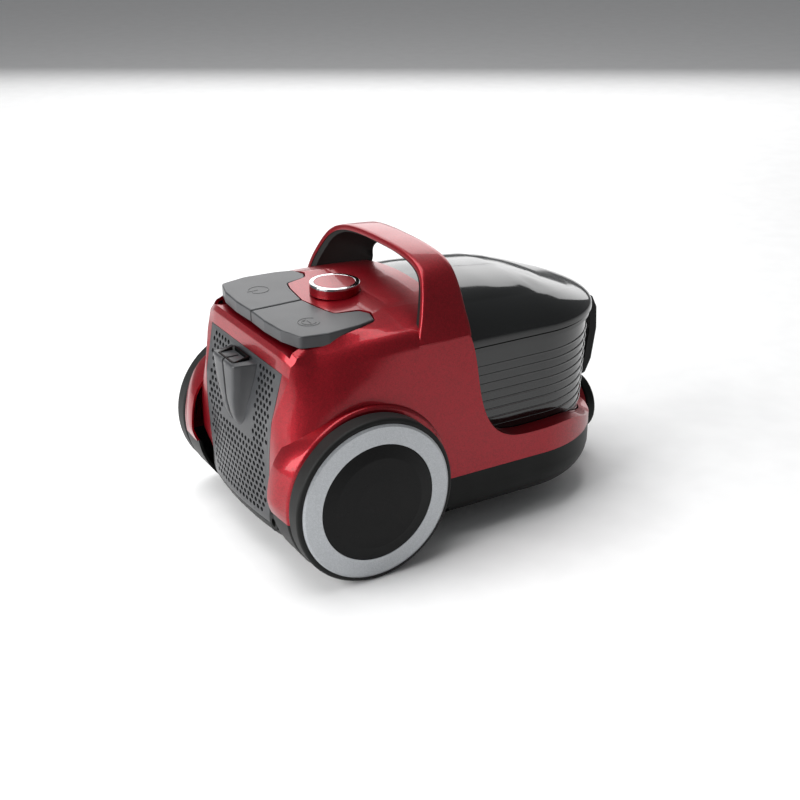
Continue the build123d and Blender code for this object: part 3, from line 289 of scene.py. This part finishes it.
def piece_from(name, shape):
    """Turns a finished bmesh into a piece in the scene."""
    bmesh.ops.recalc_face_normals(shape, faces=shape.faces)
    mesh = bpy.data.meshes.new(name)
    shape.to_mesh(mesh)
    shape.free()
    piece = bpy.data.objects.new(name, mesh)
    bpy.context.scene.collection.objects.link(piece)
    return piece


def skin(name, rings):
    """A closed, capped piece through rings of points."""
    shape = bmesh.new()
    join_rings(shape, rings)
    return piece_from(name, shape)


def apply_modifier(piece, kind, **settings):
    bpy.ops.object.select_all(action="DESELECT")
    bpy.context.view_layer.objects.active = piece
    modifier = piece.modifiers.new(kind, kind)
    for key, value in settings.items():
        setattr(modifier, key, value)
    bpy.ops.object.modifier_apply(modifier=modifier.name)


def solid_copy(node, name):
    """A merged copy of a CAD node's mesh, to be shaped further."""
    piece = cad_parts[node].copy()
    piece.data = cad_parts[node].data.copy()
    for key in [k for k in piece.keys() if k.startswith("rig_")]:
        del piece[key]
    piece.parent = None
    piece.name = name
    piece.data.name = name
    bpy.context.scene.collection.objects.link(piece)
    bpy.ops.object.select_all(action="DESELECT")
    bpy.context.view_layer.objects.active = piece
    piece.select_set(True)
    if piece.data.has_custom_normals:
        bpy.ops.mesh.customdata_custom_splitnormals_clear()
    shape = bmesh.new()
    shape.from_mesh(piece.data)
    bmesh.ops.remove_doubles(shape, verts=shape.verts, dist=0.00001)
    shape.to_mesh(piece.data)
    shape.free()
    return piece


def cut_grid(piece, x_cuts, y_cuts, z_cuts):
    """Flat cuts right through a piece, so that its large faces can curve."""
    bpy.context.view_layer.objects.active = piece
    bpy.ops.object.mode_set(mode="EDIT")
    for axis, places in enumerate((x_cuts, y_cuts, z_cuts)):
        normal = [0.0, 0.0, 0.0]
        normal[axis] = 1.0
        for place in places:
            point = [0.0, 0.0, 0.0]
            point[axis] = place * MM
            bpy.ops.mesh.select_all(action="SELECT")
            bpy.ops.mesh.bisect(plane_co=point, plane_no=normal)
    bpy.ops.mesh.select_all(action="DESELECT")
    bpy.ops.object.mode_set(mode="OBJECT")


# ------------------------------------------------------------------ body shell
HALF_WIDTH = 114.0
CROWN_TOP, CROWN_R = 239.0, 340.6
CORNER_X, CORNER_Y, CORNER_R = -141.5, 52.0, 62.0
EDGE_R = 19.0
TIGHT_R = 36.0
WHEEL_X, WHEEL_Z, ARCH_R = -127.0, 80.0, 84.5


def crown_height(y):
    """Top of the body across its width."""
    return CROWN_TOP - CROWN_R + math.sqrt(CROWN_R ** 2 - y * y)


def box_reach(u, v, a, b, radius):
    """How far a ray runs from the middle of a rounded box corner to its edge."""
    reach = min(a / max(u, 1e-9), b / max(v, 1e-9))
    dx, dz = reach * u, reach * v
    if dx > a - radius and dz > b - radius:
        ox, oz = a - radius, b - radius
        p, q, r = u * u + v * v, u * ox + v * oz, ox * ox + oz * oz - radius * radius
        reach = (q + math.sqrt(max(q * q - p * r, 0.0))) / p
    return reach


def soften(x, y, z):
    """Moves one point so that the tail's upper corners round off and its lower corners fill out."""
    side = 1.0 if y >= 0 else -1.0
    ay = abs(y)
    # lower rear corners fill out towards the wheels
    if x < CORNER_X and ay > CORNER_Y:
        u, v = CORNER_X - x, ay - CORNER_Y
        ring = math.hypot(u, v)
        fill = (1.0 - ramp_up(z, 110.0, 180.0)) * ramp_up(z, 60.0, 84.0) * (1.0 - ramp_up(ring, 64.0, 96.0))
        if ring > 30.0 and fill > 0.0:
            out = box_reach(u / ring, v / ring, CORNER_R, CORNER_R, TIGHT_R) / CORNER_R
            grow = 1.0 + (out - 1.0) * fill * ramp_up(ring, 30.0, 55.0)
            x, ay = CORNER_X - u * grow, CORNER_Y + v * grow
    # upper edge rolls over more and more towards the tail
    if x < -88.0 and ay > CORNER_Y and z > 100.0:
        along = ramp_up(-x, 88.0, 176.0)
        wide, deep = EDGE_R + 30.0 * along, EDGE_R + 48.0 * along
        if x > CORNER_X:
            depth, nx, ny, weight = HALF_WIDTH - ay, 0.0, 1.0, 1.0
        else:
            ring = max(math.hypot(x - CORNER_X, ay - CORNER_Y), 1e-6)
            depth, nx, ny = CORNER_R - ring, (x - CORNER_X) / ring, (ay - CORNER_Y) / ring
            weight = ramp_up(math.degrees(math.atan2(ay - CORNER_Y, CORNER_X - x)), 18.0, 62.0)
        drop = crown_height(ay) - z
        keep = math.hypot(x - WHEEL_X, z - WHEEL_Z)
        weight *= ramp_up(keep, ARCH_R, ARCH_R + 16.0)
        if depth < wide and drop < deep and weight > 0.0:
            u, v = wide - depth, deep - drop
            if u > 1e-6 and v > 1e-6:
                length = math.hypot(u, v)
                old = box_reach(u / length, v / length, wide, deep, EDGE_R)
                new = 1.0 / math.hypot(u / length / wide, v / length / deep)
                scale = new / old
                shift_in, shift_down = u * (1.0 - scale) * weight, v * (1.0 - scale) * weight
                x -= nx * shift_in
                ay -= ny * shift_in
                z -= shift_down
    return x, side * ay, z


def soften_piece(piece):
    for point in piece.data.vertices:
        place = soften(*(point.co / MM))
        point.co = Vector(place) * MM
    piece.data.update()


def even_out(piece):
    """Relaxes the rolled shoulders, where the cuts meet the old fillets, so that they shine evenly."""
    group = piece.vertex_groups.new(name="shoulders")
    for point in piece.data.vertices:
        x, y, z = point.co / MM
        ay = abs(y)
        from_wheel = math.hypot(x - WHEEL_X, z - WHEEL_Z)
        share = (ramp_up(ay, 88.0, 97.0) * ramp_up(z, 140.0, 160.0) * (1.0 - ramp_up(z, 214.0, 218.0))
                 * ramp_up(-x, 84.0, 96.0) * ramp_up(from_wheel, ARCH_R + 2.0, ARCH_R + 12.0))
        if share > 0.0:
            group.add([point.index], share, "REPLACE")
    apply_modifier(piece, "SMOOTH", factor=0.6, iterations=16, vertex_group="shoulders")


x_lines = [-200 + 6 * i for i in range(20)]
y_lines = [s * (52 + 6 * i) for s in (-1, 1) for i in range(11)]
z_lines = [74 + 7 * i for i in range(22)]
red_shell = solid_copy("upper_shell", "red_shell")
cut_grid(red_shell, x_lines, y_lines, z_lines)
soften_piece(red_shell)
even_out(red_shell)
finish_piece(red_shell, "body", "red_gloss", 32.0, ["upper_shell"])

grille_panel = solid_copy("rear_grille", "grille_panel")
soften_piece(grille_panel)
finish_piece(grille_panel, "grille_door", "grey_satin", 40.0, ["rear_grille"])


# ------------------------------------------------------------------ carry handle
# half width, height, rear x, front x, grip depth at the rear, grip depth at the front
ARCH = [(0.0, 277.7, -51.0, -17.0, 6.5, 17.0), (14.0, 277.7, -51.0, -17.0, 6.5, 17.0),
        (28.0, 277.3, -51.0, -17.0, 6.5, 17.5), (42.0, 276.5, -51.2, -17.0, 6.8, 18.5),
        (56.0, 275.0, -51.6, -17.0, 7.2, 20.5), (68.0, 272.4, -52.2, -17.0, 8.0, 24.0),
        (78.0, 268.6, -53.4, -17.0, 9.0, 28.0), (86.0, 263.2, -55.4, -17.0, 10.0, 31.0),
        (92.2, 256.6, -57.8, -17.0, 11.0, 33.0), (97.6, 248.4, -60.8, -17.0, 11.8, 34.0),
        (102.4, 239.0, -64.2, -16.8, 12.2, 35.0), (106.8, 229.2, -67.4, -16.6, 12.5, 36.0),
        (110.6, 219.4, -70.4, -16.5, 12.5, 37.0), (113.8, 209.0, -73.0, -16.4, 12.5, 39.0)]
BAND = 5.0
SCOOP = 1.35
RIB_PITCH, RIBS_EACH_SIDE = 3.2, 15
RIB_PROFILE = ((-0.8, -0.6), (-0.5, 0.7), (0.5, 0.7), (0.8, -0.6))


def arch_stations():
    """Places along the arch from the right foot to the left: y, z, inward direction and the row's sizes."""
    full = [(-row[0],) + row[1:] for row in reversed(ARCH)] + ARCH[1:]
    stations = []
    for i, row in enumerate(full):
        before, after = full[max(i - 1, 0)], full[min(i + 1, len(full) - 1)]
        dy, dz = after[0] - before[0], after[1] - before[1]
        length = math.hypot(dy, dz)
        stations.append((row[0], row[1], dz / length, -dy / length) + row[2:])
    return stations


def band_ring(y, z, ny, nz, rear, front, edge=1.3):
    """A flat bar's outline with eased outer corners."""
    corners = [(rear, BAND), (rear, edge), (rear + 0.4 * edge, 0.4 * edge), (rear + edge, 0.0),
               (rear + 5.0, -0.25), (0.5 * (rear + front), -0.4), (front - 5.0, -0.25),
               (front - edge, 0.0), (front - 0.4 * edge, 0.4 * edge), (front, edge), (front, BAND)]
    return tilted(corners, y, z, ny, nz, rear, front)


def tilted(corners, y, z, ny, nz, rear, front):
    """Places a section on the arch, turned so that its front edge lies further in than its rear."""
    lean = -2.6 * ramp_up(z, 212.0, 235.0) * (1.0 - 0.7 * ramp_up(z, 258.0, 276.0))
    placed = []
    for x, d in corners:
        out = d - lean * (2.0 * (x - rear) / (front - rear) - 1.0)
        placed.append((x, y + ny * out, z + nz * out))
    return placed


def grip_ring(y, z, ny, nz, rear, front, thin, thick):
    """The black inner bar: close to the band at the rear, deep at the front, with a scooped face."""
    r, f = rear + 0.8, front - 0.8
    corners = [(r, BAND - 0.1), (f, BAND - 0.1), (f, thick - 2.0), (f - 0.7, thick - 0.6), (f - 2.2, thick)]
    for share in (0.85, 0.65, 0.45, 0.25, 0.1):
        corners.append((r + (f - 2.2 - r) * share, thin + (thick - thin) * share ** SCOOP))
    corners.append((r + 0.4, thin - 0.3))
    return tilted(corners, y, z, ny, nz, rear, front)


def smooth_rows(stations, between=3):
    """More stations between the given ones, on a smooth curve through them."""
    rows = []
    for i in range(len(stations) - 1):
        a, b, c, d = (stations[max(i - 1, 0)], stations[i], stations[i + 1],
                      stations[min(i + 2, len(stations) - 1)])
        for k in range(between):
            t = k / between
            rows.append(tuple(0.5 * (2 * q + (r - p) * t + (2 * p - 5 * q + 4 * r - s) * t * t
                              + (3 * q - p - 3 * r + s) * t ** 3) for p, q, r, s in zip(a, b, c, d)))
    rows.append(stations[-1])
    return rows


stations = smooth_rows(arch_stations())
carry_band = skin("carry_band", [band_ring(*s[:6]) for s in stations])
finish_piece(carry_band, "body", "red_gloss", 50.0, ["handle_cover"])
carry_grip = skin("carry_grip", [grip_ring(*s) for s in stations])
finish_piece(carry_grip, "body", "soft_rubber", 40.0, ["handle_grip"])

ribs = bmesh.new()
for index in range(-RIBS_EACH_SIDE, RIBS_EACH_SIDE + 1):
    y = RIB_PITCH * index
    z, rear, front, thin, thick = [table_at(ARCH, abs(y), column) for column in range(1, 6)]
    rear, front = rear + 0.8, front - 3.0
    loops = []
    for share in (0.12, 0.3, 0.5, 0.7, 0.88):
        x = rear + (front - rear) * share
        depth = thin + (thick - thin) * share ** SCOOP + 0.8 * (2.0 * share - 1.0)
        loops.append([(x, y + w, z - depth - h) for w, h in RIB_PROFILE])
    join_rings(ribs, loops)
grip_ribs = piece_from("grip_ribs", ribs)
finish_piece(grip_ribs, "body", "soft_rubber")


# ------------------------------------------------------------------ dust bin lid and ribs
LID_HALF, LID_CENTRE_X, LID_REAR_X, RIM_Z = 101.5, 82.0, -23.6, 189.6
BIN_HALF, BIN_TOP_Z, BIN_DRAFT = 98.0, 188.0, 2.0
BIN_RIBS, BIN_RIB_LOW_Z, BIN_RIB_PITCH = 9, 92.0, 9.4
LID_TOP = [(-30.0, 237.0), (0.0, 236.6), (40.0, 234.0), (80.0, 229.5), (111.0, 224.0), (150.0, 215.0),
           (190.0, 209.0)]


def lid_height(x, y):
    """The lid's outer surface: a soft dome over a D shape, with a raised flat middle."""
    ahead = max(x - LID_CENTRE_X, 0.0) / (LID_HALF + 2.0)
    reach = min(math.hypot(ahead, y / LID_HALF), 1.0)
    top = table_at(LID_TOP, x, 1)
    dome = RIM_Z + 3.0 + (top - RIM_Z - 4.2) * (1.0 - reach ** 2.7) ** 0.5
    plateau = math.hypot(max(x - 40.0, 0.0) / 84.0, y / 74.0)
    return dome + 1.3 * (1.0 - ramp_up(plateau, 0.93, 1.0))


def d_outline(half, centre_x, rear_x, steps=40):
    """The bin's outline from above, from its left rear corner round the nose."""
    points = [(rear_x + (centre_x - rear_x) * i / 14, half) for i in range(14)]
    points += [(centre_x + (half + 2.0) * math.sin(a), half * math.cos(a))
               for a in (math.pi * i / steps for i in range(steps + 1))]
    points += [(centre_x + (rear_x - centre_x) * i / 14, -half) for i in range(1, 15)]
    return points


outline = d_outline(LID_HALF, LID_CENTRE_X, LID_REAR_X)
rings = [[(x, y, RIM_Z) for x, y in outline], [(x, y, RIM_Z + 3.0) for x, y in outline]]
# rings lie close together at the rim and at the plateau's edge, where the dome turns fastest
for share in (0.0015, 0.006, 0.014, 0.026, 0.045, 0.07, 0.1, 0.14, 0.19, 0.25, 0.262, 0.275, 0.29,
              0.34, 0.42, 0.52, 0.64, 0.78, 0.92, 0.985):
    ring = []
    for x, y in outline:
        nose = max(x - LID_CENTRE_X, 0.0)
        px, py = x - nose * share, y * (1.0 - share)
        ring.append((px, py, lid_height(px, py)))
    rings.append(ring)
bin_lid_dome = skin("bin_lid_dome", rings)
finish_piece(bin_lid_dome, "bin_lid", "smoked_clear", 30.0, ["bin_lid"])


def bin_section(z, out):
    """The bin's outline at a height, out millimetres outside its wall."""
    half = BIN_HALF - (BIN_TOP_Z - z) * math.tan(math.radians(BIN_DRAFT)) + out
    return [(x, y, z) for x, y in d_outline(half, LID_CENTRE_X, -4.0) if x > -3.0]


rib_rows = bmesh.new()
for index in range(BIN_RIBS):
    z = BIN_RIB_LOW_Z + BIN_RIB_PITCH * index
    profile = ((-1.4, -0.3), (-0.5, 0.22), (0.5, 0.22), (1.4, -0.3))
    join_rings(rib_rows, [bin_section(z + rise, out) for rise, out in profile], closed=False, capped=False)
bin_ribs = piece_from("bin_ribs", rib_rows)
finish_piece(bin_ribs, "dust_bin", "smoked_clear", 80.0)


# ------------------------------------------------------------------ pedal marks
def pedal_top(x):
    """Height of the pedals' sloping top."""
    return 228.85 + 1.9 * (x + 185.0) / 89.0


def mark_ring(name, body, x, y, radius, width, start, sweep, lift=0.12):
    """A flat ring or arc laid on a pedal: start and sweep in degrees, 0 along +X."""
    rings = []
    steps = max(int(abs(sweep) / 6), 2)
    for i in range(steps + 1):
        a = math.radians(start + sweep * i / steps)
        section = []
        for r, h in ((radius - width / 2, -0.3), (radius - width / 2, lift),
                     (radius + width / 2, lift), (radius + width / 2, -0.3)):
            px, py = x + r * math.cos(a), y + r * math.sin(a)
            section.append((px, py, pedal_top(px) + h))
        rings.append(section)
    return finish_piece(skin(name, rings), body, "black_gloss", 30.0)


def mark_bar(name, body, x0, y0, x1, y1, width, lift=0.12):
    """A flat bar laid on a pedal from one point to another."""
    length = math.hypot(x1 - x0, y1 - y0)
    sx, sy = -(y1 - y0) / length * width / 2, (x1 - x0) / length * width / 2
    rings = []
    for x, y in ((x0, y0), (x1, y1)):
        rings.append([(x + sx, y + sy, pedal_top(x) - 0.3), (x + sx, y + sy, pedal_top(x) + lift),
                      (x - sx, y - sy, pedal_top(x) + lift), (x - sx, y - sy, pedal_top(x) - 0.3)])
    return finish_piece(skin(name, rings), body, "black_gloss", 30.0)


mark_ring("power_mark_ring", "power_pedal", -154.0, 47.0, 9.6, 0.9, 205.0, 310.0)
mark_bar("power_mark_bar", "power_pedal", -166.0, 47.0, -155.0, 47.0, 0.9)
mark_ring("rewind_mark_ring", "rewind_pedal", -152.8, -55.6, 10.0, 0.9, 40.0, 280.0)
mark_ring("rewind_mark_coil", "rewind_pedal", -152.8, -55.6, 6.6, 0.9, 100.0, 220.0)
mark_bar("rewind_mark_plug", "rewind_pedal", -152.8, -59.6, -152.8, -51.6, 0.9)
mark_bar("rewind_mark_arrow", "rewind_pedal", -157.0, -53.0, -152.8, -48.5, 0.9)


# ------------------------------------------------------------------ parking bracket
PANEL = [(100.0, -207.0), (150.0, -200.0), (195.0, -191.5)]
# height, how far the bracket stands out, half width of its flat front, half width at the panel
BRACKET = [(122.0, 0.4, 7.0, 9.0), (126.0, 4.2, 8.5, 13.0), (134.0, 8.2, 10.5, 16.5),
           (144.0, 11.6, 13.0, 19.5), (154.0, 14.2, 15.5, 22.5), (164.0, 16.4, 18.0, 25.0),
           (174.0, 18.8, 20.0, 27.0), (182.0, 20.6, 21.5, 28.0), (186.0, 21.6, 22.4, 28.6),
           (187.4, 21.2, 22.0, 28.4), (188.0, 20.2, 21.2, 27.8)]
GROOVE_LOW_Z = 124.0
SLOT_HALF = 1.3


def bracket_ring(z, depth, flat, wide):
    """One level section of the bracket, with the groove for a hook down its middle."""
    panel = table_at(PANEL, z, 1)
    groove = depth * 0.25 if GROOVE_LOW_Z < z else depth * 0.98
    half = [(0.0, groove), (SLOT_HALF, groove), (SLOT_HALF + 0.05, depth - 0.5), (SLOT_HALF + 0.6, depth),
            (0.45 * flat, depth + 0.25), (0.8 * flat, depth), (flat, depth - 0.5), (flat + 1.2, depth - 1.6)]
    half += [(flat + 1.2 + (wide - flat - 1.2) * s, (depth - 1.6) * (1.0 - s) ** 1.25)
             for s in (0.3, 0.6, 0.85, 1.0)]
    front = [(panel - d, y, z) for y, d in reversed(half)] + [(panel - d, -y, z) for y, d in half[1:]]
    return front + [(panel + 1.5, -wide, z), (panel + 1.5, wide, z)]


bracket_body = skin("bracket_body", [bracket_ring(*row) for row in BRACKET])
finish_piece(bracket_body, "grille_door", "grey_satin", 38.0, ["parking_bracket"])


def frame_ring(z, rear, front, half, lean):
    """A rectangle with clipped corners, level across; its rear edge drops by lean."""
    c = 1.4
    left = [(rear, half - c, z - lean), (rear + c, half, z - lean),
            (front - c, half, z), (front, half - c, z)]
    return left + [(x, -y, height) for x, y, height in reversed(left)]


bracket_mouth = skin("bracket_mouth", [
    frame_ring(182.0, -211.5, -195.0, 16.0, 2.0), frame_ring(190.6, -212.2, -194.0, 16.8, 2.6),
    frame_ring(191.4, -211.8, -194.4, 16.4, 2.6), frame_ring(191.4, -210.4, -195.8, 15.0, 2.6),
    frame_ring(190.6, -210.0, -196.2, 14.6, 2.6), frame_ring(178.0, -208.6, -197.4, 13.4, 2.0)])
finish_piece(bracket_mouth, "grille_door", "black_gloss", 30.0)


# ------------------------------------------------------------------ stage, light and camera
def softbox(name, place, aim, size, size_y, power):
    """A rectangular soft light that looks at a point."""
    data = bpy.data.lights.new(name, "AREA")
    data.shape = "RECTANGLE"
    data.size = size
    data.size_y = size_y
    data.energy = power
    light = bpy.data.objects.new(name, data)
    light.location = place
    light.rotation_mode = "QUATERNION"
    light.rotation_quaternion = (Vector(aim) - Vector(place)).to_track_quat("-Z", "Y")
    bpy.context.scene.collection.objects.link(light)


bpy.ops.mesh.primitive_plane_add(size=12.0, location=(0, 0, cad_low.z))
floor = bpy.context.object
floor.name = "floor"
material, coords = start_material("pale_paper_floor")
floor.data.materials.append(finish_material(material, {
    "Base Color": two_tones(material, noise(material, coords, 40.0), "#F0F0F0", "#F3F3F3"),
    "Roughness": 0.8}))

world = bpy.data.worlds.new("studio")
bpy.context.scene.world = world
world.use_nodes = True
world.node_tree.nodes["Background"].inputs["Color"].default_value = linear("#F4F5F7")
world.node_tree.nodes["Background"].inputs["Strength"].default_value = 0.22

softbox("rear_softbox", (-1.7, 0.0, 0.85), (0, 0, 0.12), 1.5, 1.3, 40)
softbox("top_softbox", (-0.2, 0.3, 1.8), (0, 0, 0.1), 1.8, 1.4, 30)
softbox("far_wall", (1.15, 1.9, 0.95), (0, 0, 0.15), 3.0, 1.3, 26)

camera_data = bpy.data.cameras.new("camera")
camera_data.lens = 58.7
camera_data.sensor_width = 36.0
camera_data.clip_start = 0.05
camera_data.clip_end = 60.0
camera = bpy.data.objects.new("camera", camera_data)
camera.location = (-0.6415, -1.0346, 0.6356)
camera.rotation_mode = "QUATERNION"
camera.rotation_quaternion = Vector((0.4681, 0.7859, -0.4042)).to_track_quat("-Z", "Y")
bpy.context.scene.collection.objects.link(camera)
bpy.context.scene.camera = camera
bpy.context.scene.view_settings.view_transform = "Standard"
